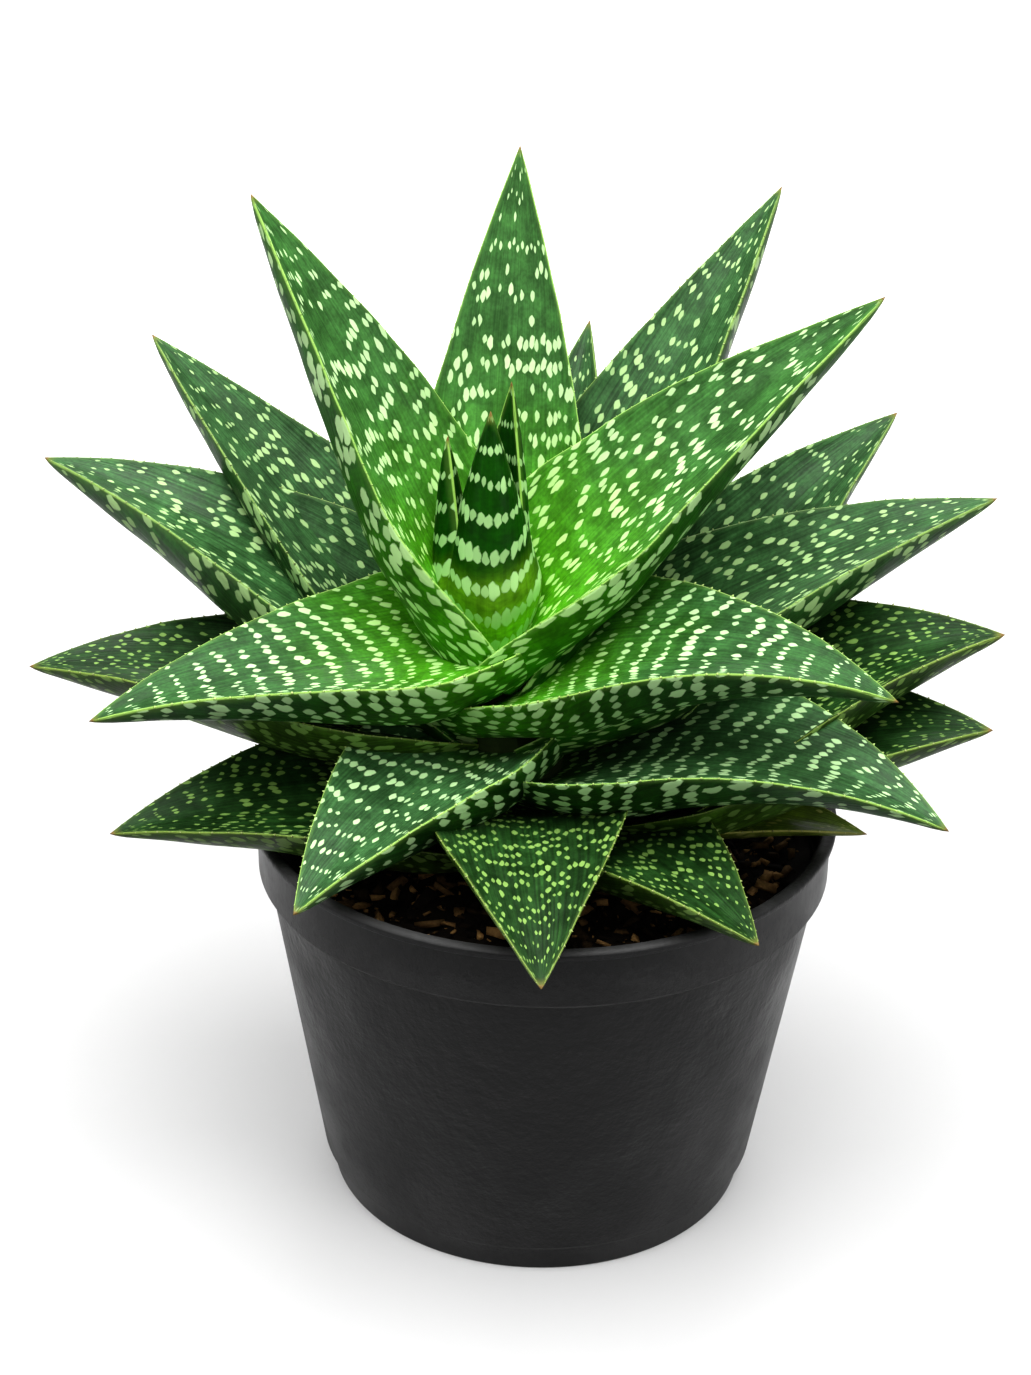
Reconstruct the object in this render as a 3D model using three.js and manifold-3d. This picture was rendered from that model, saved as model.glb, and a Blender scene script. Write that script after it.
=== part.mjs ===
// Potted aloe hybrid with spotted leaves, in a round six-inch nursery pot.
// Millimetres, +Z up. The origin is the middle of the pot's flat underside. The plant's front faces -Y.

import * as THREE from "three";
import { mergeVertices } from "three/addons/utils/BufferGeometryUtils.js";
import Module from "manifold-3d";

const wasm = await Module();
wasm.setup();

// Driving dimensions of the pot.
const potHeight = 108;
const rimRadius = 76;
const lipHeight = 2.2;
const lipWidth = 2.6;
const bandRadius = 74.6;
const bandHeight = 16.5;
const bandStep = 2.4;
const footRadius = 58.2;
const footHeight = 8;
const baseRadius = 56;
const wall = 1.8;
const floorThickness = 2.4;
const drainCount = 8;
const drainRadius = 4.5;
const drainCircle = 40;
const drainSides = 14;
const softEdge = 0.6;
const potSides = 44;

// Driving dimensions of the soil, with bark chips of a least size plus a random part.
const soilLevel = 97;
const soilSides = 36;
const soilRings = 5;
const coarseRelief = 1.3;
const fineRelief = 0.8;
const coarseWave = [0.21, 0.17];
const fineWave = [0.43, -0.37];
const chipCount = 36;
const chipLeast = [4, 2.5, 1.6];
const chipSpread = [5, 3, 1.2];
const chipTilt = 0.9;
const chipLift = 0.3;
const chipLiftSpread = 0.5;
const chipSeed = 11;
const chipInner = 20;
const chipOuter = 64;

// Driving dimensions of the stem: each row of its profile is a height and a share of crownRadius.
const crownDepth = 26;
const crownRadius = 13;
const crownHoleSides = 28;
const stemSides = 14;
const stemLean = 16;
const stemLeanStart = 96;
const stemLeanHeight = 56;
const stemProfile = [
  [soilLevel - crownDepth, 0.8], [soilLevel - 10, 1], [soilLevel, 1],
  [115, 1], [132, 0.85], [143, 0.6], [150, 0.35],
];

// Touching pieces keep this much clear of each other.
const clearance = 0.3;

// Leaf edge teeth. They have their full size where half the blade is wider than fullToothHalf.
const toothHeight = 0.8;
const toothBase = 1.8;
const toothLean = 0.5;
const fullToothHalf = 4;
const firstToothed = 1;

// Leaf sections stand closer together at the base.
// innerColumn is where the points between rib and edge lie.
const sectionPitch = 13.5;
const sectionSpread = 1.15;
const lastSection = 0.975;
const innerColumn = 0.55;

// The base's hold on the stem fades out along the leaf.
// The flesh thins toward the tip and at the very base.
const claspEnd = 0.42;
const claspFade = 1.5;
const fleshTaper = 0.75;
const baseFlesh = 0.62;
const fullFleshAt = 0.3;

// Leaves from the youngest to the oldest. Angles are in degrees.
// az: heading seen from above, 0 is +X. z, out, side: where the base sits on the stem.
// rise: slope of the midrib at base, middle and tip. roll: twist about the midrib at base and tip.
// foot: base width as a share of width. belly: where the blade is widest. point: how full the taper is.
// keel: how sharp the underside is. clasp: how far the base wraps the stem. trough: hollow of the blade.
const leafDefaults = { side: 0, roll: [0, 0], foot: 0.6, belly: 0.28, point: 1.35, keel: 2.1 };
const leaves = [
  { name: "leaf_01_heart", az: 262, z: 148, out: -1, length: 68, width: 28, thick: 10,
    rise: [80, 96, 86], foot: 0.55, belly: 0.34, point: 1.05, clasp: 10, trough: 50 },
  { name: "leaf_02_heart_right", az: 60, z: 150, out: 3, length: 70, width: 19, thick: 7,
    rise: [80, 88, 84], clasp: 40, trough: 40 },
  { name: "leaf_03_heart_left", az: 170, z: 148, out: 6, length: 60, width: 18, thick: 7,
    rise: [84, 88, 84], clasp: 40, trough: 40 },
  { name: "leaf_04_left_upright", az: 163, z: 146, out: 2, length: 132, width: 46, thick: 14,
    rise: [72, 59, 57], roll: [-15, -20], foot: 0.75, clasp: 90, trough: 36 },
  { name: "leaf_05_right_upright", az: 8, z: 146, out: 0, length: 136, width: 50, thick: 14,
    rise: [60, 37, 38], roll: [25, 25], foot: 0.75, clasp: 80, trough: 38 },
  { name: "leaf_06_back_upright", az: 85, z: 146, out: 8, length: 130, width: 48, thick: 11,
    rise: [74, 62, 66], foot: 0.75, clasp: 50, trough: 32 },
  { name: "leaf_07_front_left", az: 206, z: 153, out: -12, length: 116, width: 51, thick: 16,
    rise: [-2, 14, -14], roll: [-14, -10], foot: 0.75, point: 1.25, clasp: 40, trough: 34 },
  { name: "leaf_08_front_right", az: -31, z: 135, out: -8, length: 123, width: 56, thick: 15,
    rise: [34, 23, -13], roll: [26, 8], foot: 0.7, point: 1.2, clasp: 40, trough: 36 },
  { name: "leaf_09_back_right", az: 38, z: 140, out: 4, length: 145, width: 48, thick: 13,
    rise: [60, 50, 52], roll: [10, 10], foot: 0.7, clasp: 50, trough: 36 },
  { name: "leaf_10_back_left", az: 156, z: 112, out: 2, side: -9, length: 152, width: 64, thick: 15,
    rise: [44, 42, 42], roll: [-8, -13], foot: 0.5, clasp: 10, trough: 34 },
  { name: "leaf_11_right", az: 5, z: 127, out: 2, length: 136, width: 60, thick: 16,
    rise: [38, 30, 16], roll: [10, 12], foot: 0.55, clasp: 15, trough: 36 },
  { name: "leaf_12_left", az: 167, z: 123, out: 2, side: -5, length: 143, width: 56, thick: 19,
    rise: [39, 31, 12], roll: [-18, -12], foot: 0.4, belly: 0.36, clasp: 5, trough: 42 },
  { name: "leaf_13_right_behind", az: 26, z: 113, out: 4, side: 3, length: 135, width: 60, thick: 14,
    rise: [40, 44, 34], roll: [14, 22], foot: 0.5, point: 1.45, clasp: 10, trough: 34 },
  { name: "leaf_14_back_middle", az: 75, z: 128, out: 8, length: 110, width: 40, thick: 12,
    rise: [60, 50, 48], clasp: 40, trough: 36 },
  { name: "leaf_15_low_front_left", az: 238, z: 124, out: -4, side: -3, length: 97, width: 52, thick: 14,
    rise: [10, 2, -24], foot: 0.95, clasp: 40, trough: 36 },
  { name: "leaf_16_low_front_right", az: -31, z: 115, out: 2, length: 121, width: 66, thick: 13,
    rise: [32, 18, -22], roll: [12, 6], point: 1.25, clasp: 30, trough: 34 },
  { name: "leaf_17_low_left", az: 183, z: 122, out: 2, side: -6, length: 125, width: 62, thick: 13,
    rise: [14, 21, -4], roll: [-2, -6], foot: 0.25, belly: 0.42, clasp: 5, trough: 32 },
  { name: "leaf_18_low_right", az: -11, z: 99, out: 2, side: 7, length: 131, width: 68, thick: 15,
    rise: [38, 41, 12], roll: [36, 14], foot: 0.4, belly: 0.42, clasp: 5, trough: 34 },
  { name: "leaf_19_low_back", az: 112, z: 120, out: 2, length: 120, width: 56, thick: 14,
    rise: [40, 18, 8], clasp: 20, trough: 34 },
  { name: "leaf_20_low_back_right", az: 70, z: 112, out: 2, length: 118, width: 56, thick: 14,
    rise: [35, 14, 4], foot: 0.55, clasp: 15, trough: 34 },
  { name: "leaf_21_lowest_right", az: -14, z: 102, out: 2, side: 5, length: 120, width: 62, thick: 14,
    rise: [26, 29, 4], roll: [14, 18], foot: 0.4, belly: 0.42, clasp: 5, trough: 34 },
  { name: "leaf_22_lowest_left", az: 201, z: 104, out: 2, length: 112, width: 62, thick: 14,
    rise: [18, 12, -8], roll: [-14, -10], foot: 0.55, clasp: 15, trough: 28 },
  { name: "leaf_23_lowest_front", az: 274, z: 110, out: 4, side: -4, length: 99, width: 58, thick: 12,
    rise: [25, 2, -20], clasp: 30, trough: 30 },
  { name: "leaf_24_lowest_front_right", az: 302, z: 102, out: 4, length: 95, width: 50, thick: 12,
    rise: [26, 8, -10], roll: [4, 2], foot: 0.45, clasp: 5, trough: 26 },
  { name: "leaf_25_lowest_back_left", az: 137, z: 104, out: 2, length: 118, width: 56, thick: 14,
    rise: [26, 4, -6], foot: 0.55, clasp: 15, trough: 30 },
  { name: "leaf_26_lowest_back_right", az: 42, z: 104, out: 2, length: 110, width: 54, thick: 13,
    rise: [26, 4, -6], foot: 0.55, clasp: 15, trough: 30 },
  { name: "leaf_27_lowest_back", az: 92, z: 103, out: 2, length: 105, width: 52, thick: 13,
    rise: [24, 2, -8], foot: 0.55, clasp: 15, trough: 30 },
  { name: "leaf_28_old_yellow", az: -15, z: 104, out: 2, length: 86, width: 42, thick: 7,
    rise: [20, 4, -8], roll: [12, 8], clasp: 20, trough: 24 },
].map((leaf) => ({ ...leafDefaults, ...leaf }));

// Where the stem's centre line stands at height z: upright in the soil, then leaning to -X.
function stemAxis(z) {
  const leaning = Math.max(0, (z - stemLeanStart) / stemLeanHeight);
  return new THREE.Vector3(-stemLean * leaning, 0, z);
}

// A value that passes smoothly from base to middle to tip.
function along([base, middle, tip], s) {
  return base * (1 - s) ** 2 + 2 * middle * s * (1 - s) + tip * s * s;
}

// Half the blade's width at the share s of its length: it swells from the foot to the belly, then tapers.
function halfWidth({ width, foot, belly, point }, s) {
  if (s < belly) return (width / 2) * (foot + (1 - foot) * Math.sin((Math.PI / 2) * (s / belly)));
  return (width / 2) * (1 - Math.min(1, (s - belly) / (1 - belly)) ** point);
}

// The midrib as a list of frames: point p, direction d, side S and upper face normal N.
const spineSteps = 60;
function leafSpine(leaf) {
  const heading = THREE.MathUtils.degToRad(leaf.az);
  const outward = new THREE.Vector3(Math.cos(heading), Math.sin(heading), 0);
  const side = new THREE.Vector3(-Math.sin(heading), Math.cos(heading), 0);
  const position = stemAxis(leaf.z).addScaledVector(outward, leaf.out).addScaledVector(side, leaf.side);
  const frames = [];
  let last = null;
  for (let i = 0; i <= spineSteps; i++) {
    const s = i / spineSteps;
    const rise = THREE.MathUtils.degToRad(along(leaf.rise, s));
    const roll = THREE.MathUtils.degToRad(THREE.MathUtils.lerp(...leaf.roll, s));
    const d = outward.clone().multiplyScalar(Math.cos(rise)).setZ(Math.sin(rise));
    if (last) position.addScaledVector(d.clone().add(last), leaf.length / spineSteps / 2);
    last = d;
    const up = new THREE.Vector3().crossVectors(d, side);
    const S = side.clone().multiplyScalar(Math.cos(roll)).addScaledVector(up, Math.sin(roll));
    const N = up.multiplyScalar(Math.cos(roll)).addScaledVector(side, -Math.sin(roll));
    frames.push({ p: position.clone(), d, S, N });
  }
  return frames;
}

function spineAt(frames, s) {
  const x = THREE.MathUtils.clamp(s, 0, 1) * spineSteps;
  const i = Math.min(Math.floor(x), spineSteps - 1);
  const mix = (key) => frames[i][key].clone().lerp(frames[i + 1][key], x - i);
  return { p: mix("p"), d: mix("d"), S: mix("S"), N: mix("N") };
}

// A point on the leaf's skin. u runs from -1 to 1 across the blade, and under picks the keeled underside.
// lift raises the point off the skin, and reach moves it past the edge.
function leafPoint(leaf, frames, s, u, { under = false, lift = 0, reach = 0 } = {}) {
  const { p, S, N } = spineAt(frames, s);
  const half = halfWidth(leaf, s);
  const hold = leaf.clasp * Math.max(0, 1 - s / claspEnd) ** claspFade;
  const bend = THREE.MathUtils.degToRad(leaf.trough + hold);
  const angle = u * bend;
  const taper = (half / (leaf.width / 2)) ** fleshTaper;
  const filled = baseFlesh + (1 - baseFlesh) * Math.min(1, s / fullFleshAt);
  const flesh = leaf.thick * taper * filled * (1 - Math.abs(u) ** leaf.keel);
  const height = under ? -flesh - lift : lift;
  const past = Math.sign(u) * reach;
  const x = (half * Math.sin(angle)) / bend - Math.sin(angle) * height + Math.cos(angle) * past;
  const y = (half * (1 - Math.cos(angle))) / bend + Math.cos(angle) * height + Math.sin(angle) * past;
  return p.addScaledVector(S, x).addScaledVector(N, y);
}

function sectionsOf(leaf) {
  const count = Math.round(leaf.length / sectionPitch);
  return Array.from({ length: count + 1 }, (_, i) => lastSection * (i / count) ** sectionSpread);
}

function meshFrom(points, faces) {
  const geometry = new THREE.BufferGeometry().setFromPoints(points);
  geometry.setIndex(faces.flat());
  return geometry;
}

// A closed leaf: rings of eight points along the blade, a tooth on both edges between rings, a pointed tip.
function leafGeometry(leaf) {
  const frames = leafSpine(leaf);
  const points = [];
  const faces = [];
  const add = (point) => points.push(point) - 1;
  const columns = [[-1, false], [-innerColumn, false], [0, false], [innerColumn, false],
    [1, false], [innerColumn, true], [0, true], [-innerColumn, true]];
  const sections = sectionsOf(leaf);
  const ringAt = (s) => columns.map(([u, under]) => add(leafPoint(leaf, frames, s, u, { under })));
  const rings = sections.map(ringAt);

  // The edge point after ring i in column k becomes three: a foot of the tooth, its tip, its other foot.
  const toothAfter = (i, k) => {
    const from = points[rings[i][k]];
    const to = points[rings[i + 1][k]];
    const s = (sections[i] + sections[i + 1]) / 2;
    const inner = k === 0 ? 1 : 3;
    const inward = points[rings[i][inner]].clone().lerp(points[rings[i + 1][inner]], 0.5);
    const middle = from.clone().lerp(to, 0.5);
    const outward = middle.clone().sub(inward).normalize();
    const size = Math.min(1, halfWidth(leaf, s) / fullToothHalf);
    const foot = toothBase / 2 / from.distanceTo(to);
    const tip = middle.addScaledVector(outward, toothHeight * size)
      .addScaledVector(spineAt(frames, s).d, toothLean * size);
    return [add(from.clone().lerp(to, 0.5 - foot)), add(tip), add(from.clone().lerp(to, 0.5 + foot))];
  };

  for (let i = 0; i < rings.length - 1; i++) {
    const edges = i < firstToothed ? {} : { 0: toothAfter(i, 0), 4: toothAfter(i, 4) };
    for (let k = 0; k < 8; k++) {
      const next = (k + 1) % 8;
      const [A, B, C, D] = [rings[i][k], rings[i + 1][k], rings[i + 1][next], rings[i][next]];
      if (k in edges) {
        const [a, t, b] = edges[k];
        faces.push([A, a, D], [a, t, D], [t, C, D], [t, b, C], [b, B, C]);
      } else if (next in edges) {
        const [a, t, b] = edges[next];
        faces.push([A, a, D], [A, t, a], [A, B, t], [B, b, t], [B, C, b]);
      } else {
        faces.push([A, B, C], [A, C, D]);
      }
    }
  }

  const base = rings[0];
  for (const corners of [[0, 1, 7], [1, 2, 6], [1, 6, 7], [2, 3, 5], [2, 5, 6], [3, 4, 5]]) {
    faces.push(corners.map((k) => base[k]));
  }
  const end = rings[rings.length - 1];
  const tip = add(spineAt(frames, 1).p);
  for (let k = 0; k < 8; k++) faces.push([end[(k + 1) % 8], end[k], tip]);
  return meshFrom(points, faces);
}

// The room round a leaf, which older pieces are cut back to: the same rings, raised and past the teeth,
// with a blunt edge and one more edge point between rings, where the tooth is.
const roomLift = 1.2 * clearance;
const roomBehind = 2 * clearance;
const roomAhead = 4 * clearance;
function leafRoom(leaf) {
  const frames = leafSpine(leaf);
  const points = [];
  const faces = [];
  const add = (point) => points.push(point) - 1;
  const columns = [[-1, false], [-innerColumn, false], [0, false], [innerColumn, false], [1, false],
    [1, true], [innerColumn, true], [0, true], [-innerColumn, true], [-1, true]];
  const sections = sectionsOf(leaf);
  const last = sections.length - 1;
  const rings = sections.map((s, i) => columns.map(([u, under]) => {
    const reach = Math.abs(u) === 1 ? toothHeight + clearance : 0;
    const point = leafPoint(leaf, frames, s, u, { under, lift: roomLift, reach });
    const shift = i === 0 ? -roomBehind : i === last ? roomAhead : 0;
    return add(point.addScaledVector(spineAt(frames, s).d, shift));
  }));
  for (let i = 0; i < last; i++) {
    const middles = {};
    for (const k of i < firstToothed ? [] : [0, 4, 5, 9]) {
      middles[k] = add(points[rings[i][k]].clone().lerp(points[rings[i + 1][k]], 0.5));
    }
    for (let k = 0; k < 10; k++) {
      const next = (k + 1) % 10;
      const [A, B, C, D] = [rings[i][k], rings[i + 1][k], rings[i + 1][next], rings[i][next]];
      const [m, n] = [middles[k], middles[next]];
      if (k in middles && next in middles) faces.push([A, m, D], [m, n, D], [m, B, n], [B, C, n]);
      else if (k in middles) faces.push([A, m, D], [m, C, D], [m, B, C]);
      else if (next in middles) faces.push([A, n, D], [A, B, n], [B, C, n]);
      else faces.push([A, B, C], [A, C, D]);
    }
  }
  const base = rings[0];
  const end = rings[last];
  for (let k = 0; k < 4; k++) {
    faces.push([base[k], base[k + 1], base[8 - k]], [base[k], base[8 - k], base[9 - k]]);
    faces.push([end[k + 1], end[k], end[8 - k]], [end[8 - k], end[k], end[9 - k]]);
  }
  return meshFrom(points, faces);
}

// The short stem: root crown in the soil, then a lean to -X up to the heart. grow makes it fatter all over.
function stemGeometry(grow = 0) {
  const points = [];
  const faces = [];
  const lastRow = stemProfile.length - 1;
  stemProfile.forEach(([z, share], row) => {
    const end = row === 0 ? -grow : row === lastRow ? grow : 0;
    for (let i = 0; i < stemSides; i++) {
      const angle = (2 * Math.PI * i) / stemSides;
      const radius = crownRadius * share + grow;
      const offset = new THREE.Vector3(radius * Math.cos(angle), radius * Math.sin(angle), end);
      points.push(stemAxis(z).add(offset));
    }
  });
  for (let row = 0; row < lastRow; row++) {
    for (let i = 0; i < stemSides; i++) {
      const next = (i + 1) % stemSides;
      const [low, high] = [row * stemSides, (row + 1) * stemSides];
      faces.push([low + i, low + next, high + next], [low + i, high + next, high + i]);
    }
  }
  const top = lastRow * stemSides;
  for (let i = 1; i < stemSides - 1; i++) faces.push([0, i + 1, i], [top, top + i, top + i + 1]);
  return meshFrom(points, faces);
}

// A round solid from a profile of [radius, height] points that starts and ends on the axis.
function turned(profile, sides) {
  const points = profile.map(([r, z]) => new THREE.Vector2(r, z));
  return new THREE.LatheGeometry(points, sides).rotateX(Math.PI / 2);
}

// A closed geometry as a solid that can be cut and joined.
function asSolid(geometry) {
  const bare = geometry.clone();
  bare.deleteAttribute("normal");
  bare.deleteAttribute("uv");
  const merged = mergeVertices(bare, 1e-4);
  return new wasm.Manifold(new wasm.Mesh({
    numProp: 3,
    vertProperties: Float32Array.from(merged.attributes.position.array),
    triVerts: Uint32Array.from(merged.index.array),
  }));
}

function asGeometry(solid) {
  const { vertProperties, triVerts } = solid.getMesh();
  const geometry = new THREE.BufferGeometry();
  geometry.setAttribute("position", new THREE.BufferAttribute(vertProperties, 3));
  geometry.setIndex(new THREE.BufferAttribute(triVerts, 1));
  geometry.computeVertexNormals();
  return geometry;
}

// Cutting can leave loose scraps: only the largest body is kept.
function largest(solid) {
  return solid.decompose().reduce((a, b) => (a.volume() > b.volume() ? a : b));
}

// The pot: a tapered wall with a stepped band and a thin lip at the rim, a set-in foot, and drain holes.
const bodyTop = potHeight - bandHeight;
const bodyRadius = bandRadius - bandStep;
const bandInside = bandRadius - wall - softEdge;
const lipBottom = potHeight - lipHeight;
function potSolid() {
  let solid = asSolid(turned([
    [0, 0], [baseRadius, 0], [footRadius - 2 * softEdge, footHeight - softEdge], [footRadius, footHeight],
    [bodyRadius, bodyTop], [bandRadius - softEdge, bodyTop + softEdge], [bandRadius, lipBottom - softEdge],
    [rimRadius, lipBottom], [rimRadius, potHeight - softEdge], [rimRadius - softEdge, potHeight],
    [rimRadius - lipWidth, potHeight], [bandInside, bodyTop + softEdge],
    [bodyRadius - wall, bodyTop - softEdge], [footRadius - wall, footHeight],
    [baseRadius - wall, floorThickness], [0, floorThickness],
  ], potSides));
  for (let i = 0; i < drainCount; i++) {
    const angle = (2 * Math.PI * (i + 0.5)) / drainCount;
    const drain = new THREE.CylinderGeometry(drainRadius, drainRadius, 4 * floorThickness, drainSides);
    drain.rotateX(Math.PI / 2).translate(drainCircle * Math.cos(angle), drainCircle * Math.sin(angle), 0);
    solid = solid.subtract(asSolid(drain));
  }
  return solid;
}

// Repeatable random numbers, for the bark chips.
function randomSource(seed) {
  let state = seed;
  return () => {
    state = (state * 1664525 + 1013904223) % 4294967296;
    return state / 4294967296;
  };
}

// The soil fills the pot to a little under the rim. Its top is uneven, with bark chips sunk into it.
const soilEdge = bodyRadius - wall - 2 * clearance;
const goldenAngle = Math.PI * (3 - Math.sqrt(5));
function soilSolid() {
  const profile = [
    [0, floorThickness + clearance], [baseRadius - wall - softEdge, floorThickness + clearance],
    [footRadius - wall - 2 * clearance, footHeight], [soilEdge, bodyTop - softEdge], [soilEdge, soilLevel],
  ];
  for (let i = soilRings - 1; i >= 0; i--) profile.push([(soilEdge * i) / soilRings, soilLevel]);
  const ground = turned(profile, soilSides);
  const position = ground.attributes.position;
  for (let i = 0; i < position.count; i++) {
    if (position.getZ(i) < soilLevel - clearance) continue;
    const [x, y] = [position.getX(i), position.getY(i)];
    const coarse = coarseRelief * Math.sin(coarseWave[0] * x + 1) * Math.cos(coarseWave[1] * y);
    const fine = fineRelief * Math.sin(fineWave[0] * x + fineWave[1] * y);
    position.setZ(i, soilLevel + coarse + fine);
  }
  let solid = asSolid(ground);
  const random = randomSource(chipSeed);
  for (let i = 0; i < chipCount; i++) {
    const angle = goldenAngle * i;
    const distance = THREE.MathUtils.lerp(chipInner, chipOuter, Math.sqrt((i + 0.5) / chipCount));
    const size = chipLeast.map((least, axis) => least + chipSpread[axis] * random());
    const chip = new THREE.BoxGeometry(...size);
    chip.rotateX(chipTilt * (random() - 0.5));
    chip.rotateY(chipTilt * (random() - 0.5));
    chip.rotateZ(2 * Math.PI * random());
    const height = soilLevel + chipLeast[2] * (chipLift + chipLiftSpread * random());
    chip.translate(distance * Math.cos(angle), distance * Math.sin(angle), height);
    solid = solid.add(asSolid(chip));
  }
  const holeRadius = crownRadius + clearance;
  const hole = new THREE.CylinderGeometry(holeRadius, holeRadius, 2 * crownDepth, crownHoleSides);
  hole.rotateX(Math.PI / 2).translate(0, 0, soilLevel - clearance);
  return solid.subtract(asSolid(hole));
}

function pieceOf(name, solid, material) {
  const mesh = new THREE.Mesh(asGeometry(solid), material);
  mesh.name = name;
  return mesh;
}

// Younger pieces come first: each leaf, and then the soil, is cut clear of the stem and all younger leaves.
const cutters = [];
const boxOf = (geometry) => new THREE.Box3().setFromBufferAttribute(geometry.attributes.position);
function keepClearOf(room) {
  cutters.push({ box: boxOf(room), solid: asSolid(room) });
}
function cutClear(solid, box) {
  const near = cutters.filter((cutter) => cutter.box.intersectsBox(box));
  return largest(near.reduce((rest, cutter) => rest.subtract(cutter.solid), solid));
}

const stemGreen = new THREE.MeshStandardMaterial({ color: 0x7f8a4a, roughness: 0.8, metalness: 0 });
const youngGreen = new THREE.Color(0x5da32c);
const oldGreen = new THREE.Color(0x2f5133);
const fullGrownAge = 10;

const plant = new THREE.Group();
plant.add(pieceOf("stem", asSolid(stemGeometry()), stemGreen));
keepClearOf(stemGeometry(clearance));
leaves.forEach((leaf, age) => {
  const geometry = leafGeometry(leaf);
  const solid = cutClear(asSolid(geometry), boxOf(geometry));
  const color = youngGreen.clone().lerp(oldGreen, Math.min(1, age / fullGrownAge));
  const material = new THREE.MeshStandardMaterial({ color, roughness: 0.45, metalness: 0 });
  plant.add(pieceOf(leaf.name, solid, material));
  keepClearOf(leafRoom(leaf));
});

const plasticBlack = new THREE.MeshStandardMaterial({ color: 0x1d1e20, roughness: 0.5, metalness: 0 });
const soilBrown = new THREE.MeshStandardMaterial({ color: 0x2b1d12, roughness: 0.95, metalness: 0 });
const soilBox = new THREE.Box3(
  new THREE.Vector3(-soilEdge, -soilEdge, 0), new THREE.Vector3(soilEdge, soilEdge, potHeight));

const holder = new THREE.Group();
holder.add(pieceOf("pot", potSolid(), plasticBlack));
holder.add(pieceOf("soil", cutClear(soilSolid(), soilBox), soilBrown));

const pottedAloe = new THREE.Group();
pottedAloe.add(holder, plant);

export default pottedAloe;
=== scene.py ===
"""A potted spotted aloe hybrid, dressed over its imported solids."""

import math
import random

import bmesh
import bpy
from mathutils import Matrix, Vector, noise


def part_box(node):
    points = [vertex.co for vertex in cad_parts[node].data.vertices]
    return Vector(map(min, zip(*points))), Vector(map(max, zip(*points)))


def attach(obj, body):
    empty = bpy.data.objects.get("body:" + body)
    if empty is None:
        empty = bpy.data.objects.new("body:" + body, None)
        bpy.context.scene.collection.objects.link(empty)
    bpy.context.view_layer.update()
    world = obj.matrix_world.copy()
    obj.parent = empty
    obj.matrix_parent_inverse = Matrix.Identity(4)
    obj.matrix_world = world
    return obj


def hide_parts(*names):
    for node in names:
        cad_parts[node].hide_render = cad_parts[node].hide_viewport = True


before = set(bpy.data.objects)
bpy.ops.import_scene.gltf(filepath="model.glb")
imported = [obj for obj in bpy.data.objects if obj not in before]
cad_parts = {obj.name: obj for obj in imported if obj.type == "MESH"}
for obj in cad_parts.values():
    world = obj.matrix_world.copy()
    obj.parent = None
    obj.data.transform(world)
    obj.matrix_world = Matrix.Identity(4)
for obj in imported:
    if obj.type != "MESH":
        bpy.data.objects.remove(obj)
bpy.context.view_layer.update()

# Unless it is seeded, Blender's vector noise takes its offsets from the clock.
noise.seed_set(11)

# View, light and floor.
# The plant is photographed as a product: from the front and above, on a white sheet, with a broad soft
# light overhead, weaker panels at both sides and behind, and surroundings that darken toward the floor.
# The sheet also glows, as painted light: faintly near the pot and fully far from it.
photo_height = 1375
focal_pixels = 2600
sensor = 36.0
view_target = Vector((-0.008, 0.0, 0.1405))
view_distance = 0.664
view_pitch = math.radians(26)
view_roll = math.radians(1.0)
light_target = Vector((0, 0, 0.14))

camera = bpy.data.objects.new("camera", bpy.data.cameras.new("camera"))
camera.data.sensor_width = sensor
camera.data.lens = focal_pixels / photo_height * sensor
camera.data.clip_start = 0.01
look = Vector((0, math.cos(view_pitch), -math.sin(view_pitch)))
camera.matrix_world = (
    Matrix.Translation(view_target - view_distance * look)
    @ look.to_track_quat("-Z", "Y").to_matrix().to_4x4()
    @ Matrix.Rotation(view_roll, 4, "Z")
)
bpy.context.scene.collection.objects.link(camera)
bpy.context.scene.camera = camera
bpy.context.scene.view_settings.view_transform = "Standard"
bpy.context.scene.view_settings.look = "Medium High Contrast"


def wire(tree, kind, values, out=0, **settings):
    """Adds a shader node, sets or links its inputs, and returns one of its outputs."""
    node = tree.nodes.new("ShaderNode" + kind)
    for key, value in settings.items():
        setattr(node, key, value)
    for key, value in values.items():
        if isinstance(value, bpy.types.NodeSocket):
            tree.links.new(value, node.inputs[key])
        else:
            node.inputs[key].default_value = value
    return node.outputs[out]


def calc(tree, operation, *values):
    return wire(tree, "Math", dict(enumerate(values)), operation=operation)


def fade(tree, value, start, end, low=0.0, high=1.0):
    """Passes smoothly from low where value is at start to high where it is at end."""
    limits = {"Value": value, "From Min": start, "From Max": end, "To Min": low, "To Max": high}
    return wire(tree, "MapRange", limits, interpolation_type="SMOOTHSTEP")


def blend_colours(tree, share, first, second, mode="MIX"):
    values = {0: share, 6: first, 7: second}
    return wire(tree, "Mix", values, out=2, data_type="RGBA", blend_type=mode)


def finish(name, **surface):
    """A material with one principled surface, its node tree and its shader."""
    material = bpy.data.materials.new(name)
    material.use_nodes = True
    shader = material.node_tree.nodes["Principled BSDF"]
    for key, value in surface.items():
        shader.inputs[key.replace("_", " ")].default_value = value
    return material, material.node_tree, shader


def object_from(name, bm, material):
    """Turns a bmesh into a smooth-shaded object at the origin."""
    mesh = bpy.data.meshes.new(name)
    for face in bm.faces:
        face.smooth = True
    bm.to_mesh(mesh)
    bm.free()
    mesh.materials.append(material)
    piece = bpy.data.objects.new(name, mesh)
    bpy.context.scene.collection.objects.link(piece)
    return piece


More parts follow.
